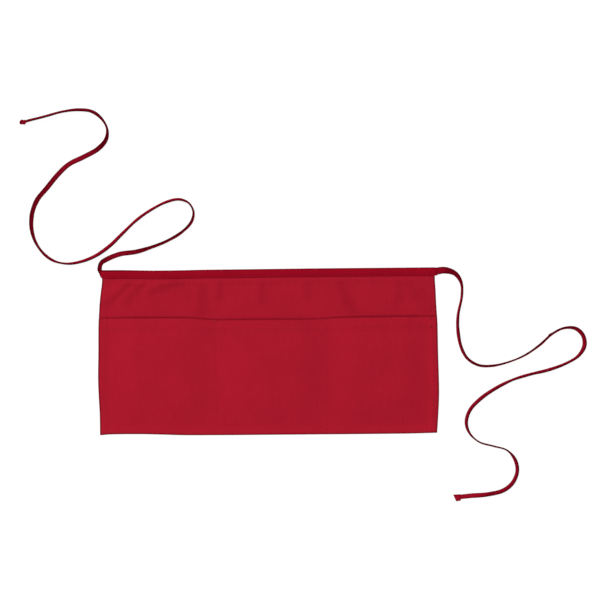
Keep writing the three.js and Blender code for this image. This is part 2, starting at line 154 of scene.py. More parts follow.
def hem_layer(distance, hem):
    """What a pressed hem adds, as a share of the cloth, fading as the cloth settles past it."""
    return hem_fullness * (1 - smooth(distance, hem - 1.5 * mm, hem + hem_settle))


def ridge(distance, spread):
    return np.exp(-((distance / spread) ** 2))


def soft_noise(x, y, size, seed):
    """Smooth unevenness from -1 to 1, with bumps about size wide."""
    flat = zip(np.ravel(x) / size, np.ravel(y) / size)
    values = [noise.noise(Vector((a, b, seed))) for a, b in flat]
    return np.array(values).reshape(np.shape(x))


def crease_lift(x, y):
    total = np.zeros(np.shape(x))
    for from_x, from_y, to_x, to_y, spread, lift in creases:
        start_x, start_y = from_x * apron_width, lowest_line + from_y * apron_height
        run_x, run_y = (to_x - from_x) * apron_width, (to_y - from_y) * apron_height
        share = ((x - start_x) * run_x + (y - start_y) * run_y) / (run_x**2 + run_y**2)
        share = np.clip(share, 0, 1)
        distance = np.hypot(x - start_x - share * run_x, y - start_y - share * run_y)
        total += (lift * apron_height * ridge(distance, 1.15 * spread * apron_height)) ** 3
    return 0.62 * np.cbrt(total)


def cloth_rest(across, x, y):
    """Height of the back cloth's underside over the table."""
    band_foot = band_top(across) - band_height
    above_mouth = smooth(y, mouth_line(across) - 2 * mm, mouth_line(across) + 18 * mm)
    below_band = 1 - smooth(y, band_foot - 11 * mm, band_foot)
    seat = (cloth + seam_gap) * smooth(y, band_foot - 15 * mm, band_foot)
    waver = 0.35 * mm * (1 + soft_noise(x, y, 42 * mm, 3.0))
    waver = waver + 0.12 * mm * (1 + soft_noise(x, y, 15 * mm, 8.0))
    inside = smooth(edge_distance(across), 12 * mm, 40 * mm)
    gathers = 0.28 * mm * np.cos(2 * np.pi * x / (11 * mm) + 3 * soft_noise(x, y, 30 * mm, 5.0))
    gathered = ridge(y - band_foot + 5 * mm, 6 * mm) * inside
    fan = crease_lift(x, y) * (1 + 0.25 * soft_noise(x, y, 24 * mm, 1.0))
    creased = above_mouth * below_band * (fan + inside * waver)
    off_table = 0.25 * mm * smooth(edge_distance(across), 3 * mm, 8 * mm)
    return seat + creased + np.maximum(gathers, 0) * gathered + off_table


def cloth_top(across, x, y):
    """Height of the back cloth's upper face."""
    distance = edge_distance(across)
    hem = hem_layer(distance, side_hem)
    groove = 0.08 * mm * ridge(distance - side_hem + stitch_inset, 0.9 * mm)
    return cloth_rest(across, x, y) + cloth * (1 + hem) - groove


def across_columns(fine, seams=()):
    """Places across the cloth, close together at hems and seams."""
    edge = np.array((
        0, 0.05, 0.2, 0.5, 1.0, 2, 3.5, 5.5, 7.4, 8.2, 8.7, 9.2, 9.7, 10.1, 10.5, 11.2, 12.2, 13.5, 15,
    )) * mm
    edge_places = edge / apron_width
    middle = np.linspace(edge_places[-1], 1 - edge_places[-1], fine)[1:-1]
    near_seams = [s + d * mm / apron_width for s in seams for d in (-2.4, -1.2, -0.6, 0, 0.6, 1.2, 2.4)]
    for seam in seams:
        middle = middle[np.abs(middle - seam) > 3.4 * mm / apron_width]
    return np.sort(np.concatenate((edge_places, middle, near_seams, 1 - edge_places)))


def round_rim(distance, thickness):
    """Share of the thickness left as a folded edge rounds off."""
    radius = thickness / 2
    short = 1 - np.clip(distance / radius, 0, 1)
    return np.maximum(np.sqrt(1 - short**2), 0.12)


def link_piece(name, mesh):
    piece = bpy.data.objects.new(name, mesh)
    bpy.context.scene.collection.objects.link(piece)
    return piece


def grid_faces(columns, rows, first, flip):
    for i in range(columns - 1):
        for j in range(rows - 1):
            corner = first + i * rows + j
            face = (corner, corner + rows, corner + rows + 1, corner + 1)
            yield face[::-1] if flip else face


def cloth_piece(name, outer, inner, painted_shade_and_seams):
    """A closed cloth from two grids of points, its outer and its inner face."""
    columns, rows = outer.shape[:2]
    count = columns * rows
    faces = list(grid_faces(columns, rows, 0, False)) + list(grid_faces(columns, rows, count, True))
    rim = [i * rows for i in range(columns)]
    rim += [(columns - 1) * rows + j for j in range(1, rows)]
    rim += [i * rows + rows - 1 for i in range(columns - 2, -1, -1)]
    rim += list(range(rows - 2, 0, -1))
    for a, b in zip(rim, rim[1:] + rim[:1]):
        faces.append((b, a, a + count, b + count))
    points = np.concatenate((outer.reshape(-1, 3), inner.reshape(-1, 3)))
    mesh = bpy.data.meshes.new(name)
    mesh.from_pydata(points.tolist(), [], faces)
    shade = mesh.attributes.new("painted_shade_and_seams", "FLOAT", "POINT")
    shade.data.foreach_set("value", np.tile(painted_shade_and_seams.ravel(), 2).astype(np.float32))
    mesh.polygons.foreach_set("use_smooth", [True] * len(mesh.polygons))
    return link_piece(name, mesh)


def set_inputs(node, values):
    for label, value in values.items():
        node.inputs[label].default_value = value


def woven_cloth(name, colour, deep_colour, thread_pitch, gloss):
    """Matt plain weave: crossing threads, slubs along the warp, and darker seams and painted shade."""
    material = bpy.data.materials.new(name)
    material.use_nodes = True
    nodes, links = material.node_tree.nodes, material.node_tree.links
    shader = nodes["Principled BSDF"]
    set_inputs(shader, {
        "Roughness": 0.88,
        "Specular IOR Level": gloss,
        "Sheen Weight": 0.5 * gloss,
        "Sheen Roughness": 0.5,
        "Sheen Tint": (1.0, 0.35, 0.4, 1),
    })
    place = nodes.new("ShaderNodeTexCoord").outputs["Object"]

    def math_node(kind, first, second=None):
        node = nodes.new("ShaderNodeMath")
        node.operation = kind
        for socket, value in zip(node.inputs, (first, second)):
            if isinstance(value, (int, float)):
                socket.default_value = value
            elif value is not None:
                links.new(value, socket)
        return node.outputs[0]

    def stretched_noise(scale, detail):
        mapping = nodes.new("ShaderNodeMapping")
        mapping.inputs["Scale"].default_value = scale
        links.new(place, mapping.inputs["Vector"])
        cloud = nodes.new("ShaderNodeTexNoise")
        set_inputs(cloud, {"Scale": 1, "Detail": detail})
        links.new(mapping.outputs[0], cloud.inputs["Vector"])
        return cloud.outputs["Fac"]

    axes = nodes.new("ShaderNodeSeparateXYZ")
    links.new(place, axes.inputs[0])
    turns = math.pi / thread_pitch
    warp = math_node("SINE", math_node("MULTIPLY", axes.outputs["X"], turns))
    weft = math_node("SINE", math_node("MULTIPLY", axes.outputs["Y"], turns))
    crossing = math_node("MULTIPLY", warp, weft)
    slubs = stretched_noise((900, 38, 38), 3)
    cross_slubs = stretched_noise((45, 800, 45), 2)
    patches = stretched_noise((16, 16, 16), 2)
    tone = math_node("ADD", math_node("MULTIPLY", slubs, 0.55), math_node("MULTIPLY", cross_slubs, 0.25))
    tone = math_node("ADD", tone, math_node("MULTIPLY", patches, 0.35))
    # This attribute holds painted shade at edges, folds, creases, mouths and hollows, along with the darker
    # seams; it pulls the colour towards the deep colour.
    seam = nodes.new("ShaderNodeAttribute")
    seam.attribute_name = "painted_shade_and_seams"
    deeper = math_node("MULTIPLY", tone, 0.55)
    depth = math_node("ADD", deeper, math_node("MULTIPLY", seam.outputs["Fac"], 0.75))
    ramp = nodes.new("ShaderNodeValToRGB")
    ramp.color_ramp.elements[0].color = (*colour, 1)
    ramp.color_ramp.elements[1].color = (*deep_colour, 1)
    links.new(depth, ramp.inputs["Fac"])
    links.new(ramp.outputs["Color"], shader.inputs["Base Color"])
    height = math_node("ADD", math_node("MULTIPLY", crossing, 0.5), math_node("MULTIPLY", slubs, 1.6))
    bump = nodes.new("ShaderNodeBump")
    set_inputs(bump, {"Strength": 0.5, "Distance": 0.12 * mm})
    links.new(height, bump.inputs["Height"])
    links.new(bump.outputs["Normal"], shader.inputs["Normal"])
    return material


def stitch_tree():
    """A node tree that lays one stitch after another along rows of points."""
    tree = bpy.data.node_groups.new("stitches", "GeometryNodeTree")
    for label, kind in (
        ("Rows", "NodeSocketGeometry"),
        ("Pitch", "NodeSocketFloat"),
        ("Stitch Length", "NodeSocketFloat"),
        ("Thread Width", "NodeSocketFloat"),
        ("Turn", "NodeSocketFloat"),
        ("Seed", "NodeSocketInt"),
        ("Thread", "NodeSocketMaterial"),
    ):
        tree.interface.new_socket(label, in_out="INPUT", socket_type=kind)
    tree.interface.new_socket("Stitches", in_out="OUTPUT", socket_type="NodeSocketGeometry")

    def add(kind, **inputs):
        node = tree.nodes.new(kind)
        for label, value in inputs.items():
            socket = node.inputs[label.replace("_", " ")]
            if isinstance(value, bpy.types.NodeSocket):
                tree.links.new(value, socket)
            else:
                socket.default_value = value
        return node

    def half_of(size):
        node = add("ShaderNodeMath")
        node.operation = "MULTIPLY"
        tree.links.new(size, node.inputs[0])
        node.inputs[1].default_value = 0.5
        return node.outputs[0]

    given = tree.nodes.new("NodeGroupInput").outputs
    half_width = half_of(given["Thread Width"])
    size = add("ShaderNodeCombineXYZ", X=half_width, Y=half_width, Z=half_of(given["Stitch Length"]))
    ball = add("GeometryNodeMeshUVSphere", Segments=6, Rings=4, Radius=1.0)
    drawn = add("GeometryNodeTransform", Geometry=ball.outputs["Mesh"], Scale=size.outputs[0])
    turn = add("ShaderNodeCombineXYZ", Y=given["Turn"])
    stitch = add("GeometryNodeTransform", Geometry=drawn.outputs[0], Rotation=turn.outputs[0])
    line = add("GeometryNodeMeshToCurve", Mesh=given["Rows"])
    upright = add("GeometryNodeSetCurveNormal", Curve=line.outputs[0])
    upright.mode = "Z_UP"
    spots = tree.nodes.new("GeometryNodeCurveToPoints")
    spots.mode = "LENGTH"
    tree.links.new(upright.outputs[0], spots.inputs["Curve"])
    tree.links.new(given["Pitch"], spots.inputs["Length"])
    uneven = tree.nodes.new("FunctionNodeRandomValue")
    uneven.data_type = "FLOAT_VECTOR"
    set_inputs(uneven, {"Min": (0.9, 0.85, 0.86), "Max": (1.1, 1.1, 1.06)})
    tree.links.new(given["Seed"], uneven.inputs["Seed"])
    laid = add(
        "GeometryNodeInstanceOnPoints",
        Points=spots.outputs["Points"],
        Instance=stitch.outputs[0],
        Rotation=spots.outputs["Rotation"],
        Scale=uneven.outputs["Value"],
    )
    real = add("GeometryNodeRealizeInstances", Geometry=laid.outputs[0])
    rounded = add("GeometryNodeSetShadeSmooth", Geometry=real.outputs[0])
    threaded = add("GeometryNodeSetMaterial", Geometry=rounded.outputs[0], Material=given["Thread"])
    tree.links.new(threaded.outputs[0], tree.nodes.new("NodeGroupOutput").inputs["Stitches"])
    return tree


stitches = stitch_tree()


def sew(name, rows, thread, seed, pitch=2.6 * mm, length=2.1 * mm, width=0.36 * mm, turn=0.0):
    """Stitches of thread along rows of points, as one plain mesh."""
    points, edges = [], []
    for row in rows:
        edges += [(len(points) + k, len(points) + k + 1) for k in range(len(row) - 1)]
        points += [tuple(float(v) for v in point) for point in row]
    guide = bpy.data.meshes.new(name + "_rows")
    guide.from_pydata(points, edges, [])
    piece = link_piece(name, guide)
    modifier = piece.modifiers.new("stitches", "NODES")
    modifier.node_group = stitches
    settings = {
        "Pitch": pitch,
        "Stitch Length": length,
        "Thread Width": width,
        "Turn": turn,
        "Seed": seed,
        "Thread": thread,
    }
    for socket in stitches.interface.items_tree:
        if socket.in_out == "INPUT" and socket.name in settings:
            modifier[socket.identifier] = settings[socket.name]
    evaluated = piece.evaluated_get(bpy.context.evaluated_depsgraph_get())
    sewn = bpy.data.meshes.new_from_object(evaluated)
    piece.modifiers.clear()
    piece.data = sewn
    bpy.data.meshes.remove(guide)
    return piece


def sewing_thread(name, colour):
    """Spun polyester thread with a slight sheen and a twist to its shade."""
    material = bpy.data.materials.new(name)
    material.use_nodes = True
    nodes, links = material.node_tree.nodes, material.node_tree.links
    shader = nodes["Principled BSDF"]
    set_inputs(shader, {"Roughness": 0.6, "Specular IOR Level": 0.2})
    place = nodes.new("ShaderNodeTexCoord").outputs["Object"]
    twist = nodes.new("ShaderNodeTexNoise")
    set_inputs(twist, {"Scale": 1800, "Detail": 2})
    links.new(place, twist.inputs["Vector"])
    ramp = nodes.new("ShaderNodeValToRGB")
    ramp.color_ramp.elements[0].color = (*[0.55 * value for value in colour], 1)
    ramp.color_ramp.elements[1].color = (*colour, 1)
    links.new(twist.outputs["Fac"], ramp.inputs["Fac"])
    links.new(ramp.outputs["Color"], shader.inputs["Base Color"])
    bump = nodes.new("ShaderNodeBump")
    set_inputs(bump, {"Strength": 0.4, "Distance": 0.05 * mm})
    links.new(twist.outputs["Fac"], bump.inputs["Height"])
    links.new(bump.outputs["Normal"], shader.inputs["Normal"])
    return material


apron_cloth = woven_cloth("apron_cloth", (0.368, 0.0078, 0.0219), (0.135, 0.0006, 0.006), 0.45 * mm, 0.05)
apron_thread = sewing_thread("apron_thread", (0.44, 0.006, 0.026))

fold_lip = 4 * mm
back_across = across_columns(235)
back_rows = np.concatenate((np.linspace(0, 0.7, 36)[:-1], np.linspace(0.7, 1.0, 58)))
across_grid = np.repeat(back_across[:, None], len(back_rows), axis=1)
back_leaf = cloth * (1 + hem_layer(edge_distance(across_grid), side_hem))
back_foot = fold_line(across_grid) + back_leaf + seam_gap / 2 + fold_lip + 0.05 * mm
back_head = band_top(across_grid) - cloth - seam_gap - back_leaf / 2
y_grid = back_foot + (back_head - back_foot) * back_rows[None, :]
x_grid = place_across(across_grid, y_grid)
from_edge = edge_distance(across_grid)
under = cloth_rest(across_grid, x_grid, y_grid)
over = cloth_top(across_grid, x_grid, y_grid)
hem_inside = smooth(from_edge, side_hem - 0.1 * mm, side_hem + 0.35 * mm)
under = under + cloth * hem_inside * hem_layer(from_edge, side_hem)
middle, half = (under + over) / 2, (over - under) / 2
half = half * round_rim(from_edge, over - under)
# Painted shade on the back cloth: at the stitching's groove and at the hem's step, where the denser weave
# darkens it too; along the rounded side edges; in the creases; and the pocket mouth's shadow on the cloth
# above it. The whole cloth is a little darker as well.
seam_and_groove_shade = ridge(from_edge - side_hem + stitch_inset, 0.9 * mm)
painted_edge_shade = edge_shade * ridge(from_edge, edge_shade_reach)
hem_step_shade = 0.5 * ridge(from_edge - side_hem - 0.6 * mm, 0.9 * mm)
crease_shade = 0.11 * crease_lift(x_grid, y_grid) / (0.0053 * apron_height)
crease_shade *= smooth(y_grid, mouth_line(across_grid), mouth_line(across_grid) + 14 * mm)
mouth_shadow = 0.45 * ridge(y_grid - mouth_line(across_grid) - 0.6 * mm, 1.6 * mm)
back_cloth = cloth_piece(
    "back_cloth",
    np.stack((x_grid, y_grid, middle + half), axis=2),
    np.stack((x_grid, y_grid, middle - half), axis=2),
    0.03 + crease_shade + np.max((seam_and_groove_shade * 0.08, painted_edge_shade, hem_step_shade * 0.15, mouth_shadow), axis=0),
)
back_cloth.data.materials.append(apron_cloth)
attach(back_cloth, "root")
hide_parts("body_panel")


def top_row(row_across, row_y):
    """Points along the back cloth's upper face, just proud of it."""
    row_x = place_across(row_across, row_y)
    return np.stack((row_x, row_y, cloth_top(row_across, row_x, row_y) + thread_proud), axis=1)


def under_row(row_across, row_y):
    """Points along the back cloth's underside, where the bobbin's thread shows."""
    row_x = place_across(row_across, row_y)
    return np.stack((row_x, row_y, cloth_rest(row_across, row_x, row_y) - bobbin_proud), axis=1)


side_seams = (side_hem - stitch_inset, apron_width - side_hem + stitch_inset)
side_seam_head = back_head[0, 0] - 14 * mm
back_seams = []
for side in side_seams:
    row_across = np.full(60, side / apron_width)
    seam_foot = mouth_line(row_across[0]) + 1 * mm
    back_seams.append(top_row(row_across, np.linspace(seam_foot, side_seam_head, 60)))
for side in side_seams:
    row_across = np.full(150, side / apron_width)
    back_seams.append(under_row(row_across, np.linspace(back_foot[0, 0] + 2 * mm, side_seam_head, 150)))
back_stitches = sew("back_stitches", back_seams, apron_thread, 3)
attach(back_stitches, "root")

# Pocket cloth
# The same cloth folded up from the bottom over the back, with a deep stitched hem along
# its mouth. Two seams part it into three pockets, which stand a little open.
mouth_hem = 19 * mm
dividers = (0.346, 0.674)
pocket_room = 4.2 * mm
mouth_sag = 0.30
pocket_foot_share = 0.34
pocket_shoulder = 0.30
hem_edge = (side_hem + 3 * mm) / apron_width
pocket_seams = (hem_edge, *dividers, 1 - hem_edge)
pocket_openness = (0.85, 1.0, 0.85)


def pocket_room_at(across, y):
    """How far the pocket cloth stands off the back cloth."""
    foot = fold_line(across)
    upwards = smooth(y, foot, foot + pocket_foot_share * pocket_depth)
    sag = 1 - mouth_sag * smooth(y, mouth_line(across) - 60 * mm, mouth_line(across))
    room = np.zeros(np.shape(across))
    for start, end, openness in zip(pocket_seams, pocket_seams[1:], pocket_openness):
        share = (across - start) / (end - start)
        sideways = smooth(np.minimum(share, 1 - share), 0, pocket_shoulder)
        room = np.maximum(room, openness * sideways)
    return pocket_room * room * upwards * sag


def pocket_inside(across, x, y):
    return cloth_top(across, x, y) + seam_gap + pocket_room_at(across, y)


def divider_distance(across):
    return np.min([np.abs(across - seam) for seam in dividers], axis=0) * apron_width


def pocket_outside(across, x, y):
    """Height of the pocket cloth's outer face, with its hems and pressed seams."""
    edge = edge_distance(across)
    below_mouth = mouth_line(across) - y
    layers = 1 + hem_layer(edge, side_hem) + hem_layer(below_mouth, mouth_hem)
    side_groove = 0.08 * mm * ridge(edge - side_hem + stitch_inset, 0.8 * mm)
    hem_groove = 0.08 * mm * ridge(below_mouth - mouth_hem + stitch_inset, 0.8 * mm)
    seam_groove = 0.12 * mm * ridge(divider_distance(across), 1.0 * mm)
    waver = 0.2 * mm * soft_noise(x, y, 55 * mm, 12.0) + 0.08 * mm * soft_noise(x, y, 16 * mm, 15.0)
    inside = smooth(edge, 8 * mm, 30 * mm) * smooth(y - fold_line(across), 4 * mm, 30 * mm)
    hem_pucker = np.cos(2 * np.pi * x / (8.5 * mm) + 4 * soft_noise(x, y, 26 * mm, 21.0))
    hem_pucker = hem_pucker * ridge(below_mouth - mouth_hem, 4.5 * mm) * inside
    seam_pucker = np.cos(2 * np.pi * y / (7.5 * mm) + 4 * soft_noise(x, y, 24 * mm, 25.0))
    seam_pucker = seam_pucker * ridge(divider_distance(across) - 3 * mm, 3.0 * mm)
    ripples = 0.07 * mm * hem_pucker + 0.06 * mm * seam_pucker
    face = pocket_inside(across, x, y) + cloth * layers
    return face - side_groove - hem_groove - seam_groove + inside * waver + ripples


pocket_across = across_columns(225, dividers)
arc_steps = 14
lip_rows = np.array((1.0, 0.5, 0.0))
rise_rows = np.concatenate((
    np.linspace(0.0, 0.87, 82)[1:],
    np.linspace(0.87, 0.925, 16)[1:],
    np.linspace(0.925, 0.992, 14)[1:],
    (0.994, 0.996, 0.9975, 0.9987, 0.9995, 1.0),
))
path_rows = len(lip_rows) + arc_steps + len(rise_rows)
outer = np.zeros((len(pocket_across), path_rows, 3))
inner = np.zeros_like(outer)
shade = np.zeros(outer.shape[:2])
leaf = cloth * (1 + hem_layer(edge_distance(pocket_across), side_hem))
inner_radius = seam_gap / 2
outer_radius = inner_radius + leaf
centre_y = fold_line(pocket_across) + outer_radius
for row, share in enumerate(lip_rows):
    lip_y = centre_y + fold_lip * share
    outer[:, row] = np.stack((place_across(pocket_across, lip_y), lip_y, np.zeros_like(lip_y)), axis=1)
    inner[:, row] = np.stack((place_across(pocket_across, lip_y), lip_y, leaf), axis=1)
for step in range(1, arc_steps + 1):
    angle = -math.pi / 2 - math.pi * step / arc_steps
    row = len(lip_rows) + step - 1
    for grid, radius in ((outer, outer_radius), (inner, inner_radius)):
        arc_y = centre_y + radius * math.cos(angle)
        arc_z = outer_radius + radius * math.sin(angle)
        grid[:, row] = np.stack((place_across(pocket_across, centre_y), arc_y, arc_z), axis=1)
first_rise = len(lip_rows) + arc_steps
across_grid = np.repeat(pocket_across[:, None], len(rise_rows), axis=1)
y_grid = centre_y[:, None] + (mouth_line(across_grid) - centre_y[:, None]) * rise_rows[None, :]
x_grid = place_across(across_grid, y_grid)
blend_in = smooth(y_grid - centre_y[:, None], 0, 9 * mm)
flat_inside = (outer_radius + inner_radius)[:, None]
flat_outside = 2 * outer_radius[:, None]
inside = flat_inside + (pocket_inside(across_grid, x_grid, y_grid) - flat_inside) * blend_in
outside = flat_outside + (pocket_outside(across_grid, x_grid, y_grid) - flat_outside) * blend_in
middle, half = (inside + outside) / 2, (outside - inside) / 2
half = half * round_rim(mouth_line(across_grid) - y_grid, outside - inside)
outer[:, first_rise:] = np.stack((x_grid, y_grid, middle + half), axis=2)
inner[:, first_rise:] = np.stack((x_grid, y_grid, middle - half), axis=2)
side_round = round_rim(edge_distance(pocket_across), 2 * cloth)[:, None, None]
centre_line = (outer + inner) / 2
outer = centre_line + (outer - centre_line) * side_round
inner = centre_line + (inner - centre_line) * side_round
edge = edge_distance(across_grid)
below_mouth = mouth_line(across_grid) - y_grid
# Painted shade on the pocket cloth: along its rounded side edges, at its mouth's lip and along its bottom
# fold, where the fold's underside is darkest; at the stitching and seams, where the denser weave darkens it
# too. Just above the fold a painted highlight, where its roll catches light.
shade[:, first_rise:] = np.max((
    0.08 * ridge(edge - side_hem + stitch_inset, 0.9 * mm),
    edge_shade * ridge(edge, edge_shade_reach),
    0.10 * ridge(below_mouth - mouth_hem + stitch_inset, 0.9 * mm),
    0.65 * ridge(below_mouth, 1.0 * mm),
    0.06 * ridge(divider_distance(across_grid), 0.9 * mm),
    0.9 * ridge(y_grid - fold_line(across_grid), 1.8 * mm),
), axis=0)
shade[:, first_rise:] -= 0.09 * ridge(y_grid - fold_line(across_grid) - 9 * mm, 6 * mm)
shade[:, :first_rise] = 0.8
pocket_cloth = cloth_piece("pocket_cloth", outer, inner, shade)
pocket_cloth.data.materials.append(apron_cloth)
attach(pocket_cloth, "root")
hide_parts("pocket_panel")


def pocket_row(row_across, row_y):
    """Points along the pocket cloth's outer face, just proud of it."""
    row_x = place_across(row_across, row_y)
    return np.stack((row_x, row_y, pocket_outside(row_across, row_x, row_y) + thread_proud), axis=1)


pocket_rows = []
hem_across = np.linspace(2 * mm / apron_width, 1 - 2 * mm / apron_width, 420)
pocket_rows.append(pocket_row(hem_across, mouth_line(hem_across) - mouth_hem + stitch_inset))
for side in side_seams:
    row_across = np.full(150, side / apron_width)
    row_y = np.linspace(fold_line(row_across[0]) + 11 * mm, mouth_line(row_across[0]) - 1 * mm, 150)
    pocket_rows.append(pocket_row(row_across, row_y))
for seam in dividers:
    row_across = np.full(150, seam)
    row_y = np.linspace(fold_line(seam) + 9 * mm, mouth_line(seam) - 1 * mm, 150)
    pocket_rows.append(pocket_row(row_across, row_y))
    pocket_rows.append(under_row(row_across, row_y))
pocket_stitches = sew("pocket_stitches", pocket_rows, apron_thread, 5)
# A bar tack is a short row of threads laid close beside each other, nearly across it.
tack_inset = 12 * mm
tack_pitch = 0.42 * mm
tack_width = 0.4 * mm
tack_turn = math.radians(82)
tack_rows = []
for seam in dividers:
    row_across = seam + np.linspace(-3.8, 3.8, 12) * mm / apron_width
    tack_rows.append(pocket_row(row_across, mouth_line(row_across) - 1.6 * mm))
tack_thread = sewing_thread("tack_thread", (0.25, 0.003, 0.013))
side_tack_rows = []
for across, rows in ((tack_inset / apron_width, tack_rows), (1 - tack_inset / apron_width, side_tack_rows)):
    for drop in (0.8 * mm, 16.5 * mm):
        row_y = mouth_line(across) - drop - np.linspace(0, 4 * mm, 12)
        rows.append(pocket_row(np.full(12, across), row_y))
pocket_tacks = sew("pocket_tacks", tack_rows, apron_thread, 7, tack_pitch, 2.2 * mm, tack_width, tack_turn)
side_tacks = sew("side_tacks", side_tack_rows, tack_thread, 9, tack_pitch, 2.6 * mm, tack_width, tack_turn)
for piece in (pocket_stitches, pocket_tacks, side_tacks):
    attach(piece, "root")

# Waistband
# A binding tape folded over the cloth's top edge and sewn down along its foot through
# all the layers. Its front puffs a little between the sewing and the fold, and past the
# cloth its two leaves close up, at the left with the foot turned up into the tie.
tape = 1.0 * mm
band_stitch_inset = 1.8 * mm
band_left_end = band_low.x
band_right_end = band_high.x
crown_turns = 16
# Share of the way past the cloth, then how far the foot has risen as a share of the turn.
band_end_turn = ((0, 0), (0.25, 0.10), (0.55, 0.33), (0.82, 0.62), (1, 1))
band_turn_up = 9 * mm
band_right_taper = 0.9 * mm
band_across = across_columns(230)
band_x = place_across(band_across, band_top(band_across) - band_height)
past_steps = np.array((0.1, 0.2, 0.32, 0.45, 0.58, 0.7, 0.82, 0.92, 0.98, 1.0))
left_x = band_x[0] + (band_left_end - band_x[0]) * past_steps[::-1]
right_x = band_x[-1] + (band_right_end - band_x[-1]) * past_steps
past_left = np.concatenate((past_steps[::-1], np.zeros(len(band_x) + len(past_steps))))
past_right = np.concatenate((np.zeros(len(band_x) + len(past_steps)), past_steps))
band_x = np.concatenate((left_x, band_x, right_x))
band_across = np.concatenate((np.zeros(len(past_steps)), band_across, np.ones(len(past_steps))))
closed_up = smooth(past_left + past_right, -0.05, 1)
band_leaf = cloth * (1 + hem_layer(0.6 * edge_distance(band_across), side_hem)) * (1 - 0.95 * closed_up)
band_inner = seam_gap * (1 - 0.8 * closed_up) + band_leaf / 2
band_outer = band_inner + tape
band_head = band_top(band_across) - 0.6 * mm * smooth(past_right, 0, 1)
crown_y = band_head - band_outer
foot_rise = band_turn_up * read_rows(band_end_turn, past_left) + band_right_taper * smooth(past_right, 0, 1)
foot_waver = 0.22 * mm * soft_noise(band_x, band_head, 28 * mm, 31.0)
band_foot_y = band_top(band_across) - band_height + foot_waver + foot_rise
front_shares = np.concatenate(([0, 0.02, 0.05, 0.09], np.linspace(0.13, 1, 12)))


def band_front(rise, share, y):
    """Height of the tape's front face, rise above its foot."""
    puff = 0.55 * mm * smooth(rise, band_stitch_inset, 6 * mm) * (1 - smooth(share, 0.8, 1))
    groove = 0.22 * mm * ridge(rise - band_stitch_inset, 0.9 * mm)
    pucker = 0.12 * mm * np.cos(2 * np.pi * band_x / (6.5 * mm) + 5 * soft_noise(band_x, y, 22 * mm, 34.0))
    pucker = pucker * ridge(rise - 4 * mm, 3 * mm)
    return 2 * band_outer + (puff - groove + pucker) * (1 - 0.7 * closed_up), puff * (1 - closed_up)


# Painted shade along the band's rolled top edge, strongest at the left end.
crown_shade_strength = 0.40 + 0.55 * (1 - smooth(band_x - band_left_end, 15 * mm, 90 * mm))
outer, inner, shade = [], [], []
for share in front_shares:
    y = band_foot_y + (crown_y - band_foot_y) * share
    rise = y - band_foot_y
    top, puff = band_front(rise, share, y)
    bottom = band_outer + band_inner + puff * 0.8
    centre, half = (top + bottom) / 2, (top - bottom) / 2
    half = half * round_rim(rise, tape)
    outer.append(np.stack((band_x, y, centre + half), axis=1))
    inner.append(np.stack((band_x, y, centre - half), axis=1))
    # Painted shade on the front: at the stitching's groove, where the denser weave darkens it too; along the
    # top edge; along the foot; and over the left end where the tape turns up into the tie.
    seam_and_groove_shade = 0.10 * ridge(rise - band_stitch_inset, 1.1 * mm) * (1 - closed_up)
    crown_edge_shade = crown_shade_strength * smooth(share, 0.9, 1)
    foot_edge_shade = 0.22 * ridge(rise, 0.9 * mm)
    turned_end_shade = 0.95 * smooth(past_left, 0.0, 0.75)
    shade.append(np.max((seam_and_groove_shade, crown_edge_shade, foot_edge_shade), axis=0) + turned_end_shade)
# Round the crown the painted shade is deepest where the tape faces sideways.
for step in range(1, crown_turns):
    angle = math.pi / 2 - math.pi * step / crown_turns
    for grid, radius in ((outer, band_outer), (inner, band_inner)):
        y = crown_y + radius * math.cos(angle)
        z = band_outer + radius * math.sin(angle)
        grid.append(np.stack((band_x, y, z), axis=1))
    shade.append(crown_shade_strength + (1 - crown_shade_strength) * 0.6 * math.cos(angle) ** 2)
for share in front_shares[::-1]:
    y = band_foot_y + (crown_y - band_foot_y) * share
    rise = y - band_foot_y
    low = 0.3 * mm * ridge(rise - band_stitch_inset, 0.8 * mm)
    high = band_outer - band_inner
    centre, half = (low + high) / 2, (high - low) / 2
    half = half * round_rim(rise, tape)
    outer.append(np.stack((band_x, y, centre - half), axis=1))
    inner.append(np.stack((band_x, y, centre + half), axis=1))
    # Painted shade on the back leaf too, at the stitching and along the foot.
    shade.append(np.maximum(0.6 * ridge(rise - band_stitch_inset, 1.0 * mm), 0.8 * ridge(rise, 0.9 * mm)))
waistband_tape = woven_cloth("waistband_tape", (0.288, 0.0036, 0.0140), (0.085, 0.0006, 0.004), 0.6 * mm, 0.0)
waistband = cloth_piece(
    "waistband_tape",
    np.stack(outer, axis=1),
    np.stack(inner, axis=1),
    np.stack(shade, axis=1),
)
waistband.data.materials.append(waistband_tape)
band_thread = sewing_thread("band_thread", (0.36, 0.0045, 0.018))
seam_share = band_stitch_inset / (crown_y - band_foot_y)
seam_y = band_foot_y + band_stitch_inset
seam_height = band_front(np.full(len(band_x), band_stitch_inset), seam_share, seam_y)[0]
band_rows = [
    np.stack((band_x, seam_y, seam_height + thread_proud), axis=1)[2:-2],
    np.stack((band_x, seam_y, np.full(len(band_x), 0.26 * mm)), axis=1)[2:-2],
]
band_stitches = sew("band_stitches", band_rows, band_thread, 11)
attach(band_stitches, "root")
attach(waistband, "root")
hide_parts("waistband")

# Ties
# The waistband's tape runs on past the cloth at both ends, folded narrow and sewn along
# its open edge. The limp ties lie in loose curves, rolled onto their edges in most
# bends and flat in a few; the right one widens into its turned-in end.
tie_width = 8.0 * mm
tie_thickness = 2.4 * mm
exit_height = highest_line - band_height / 2
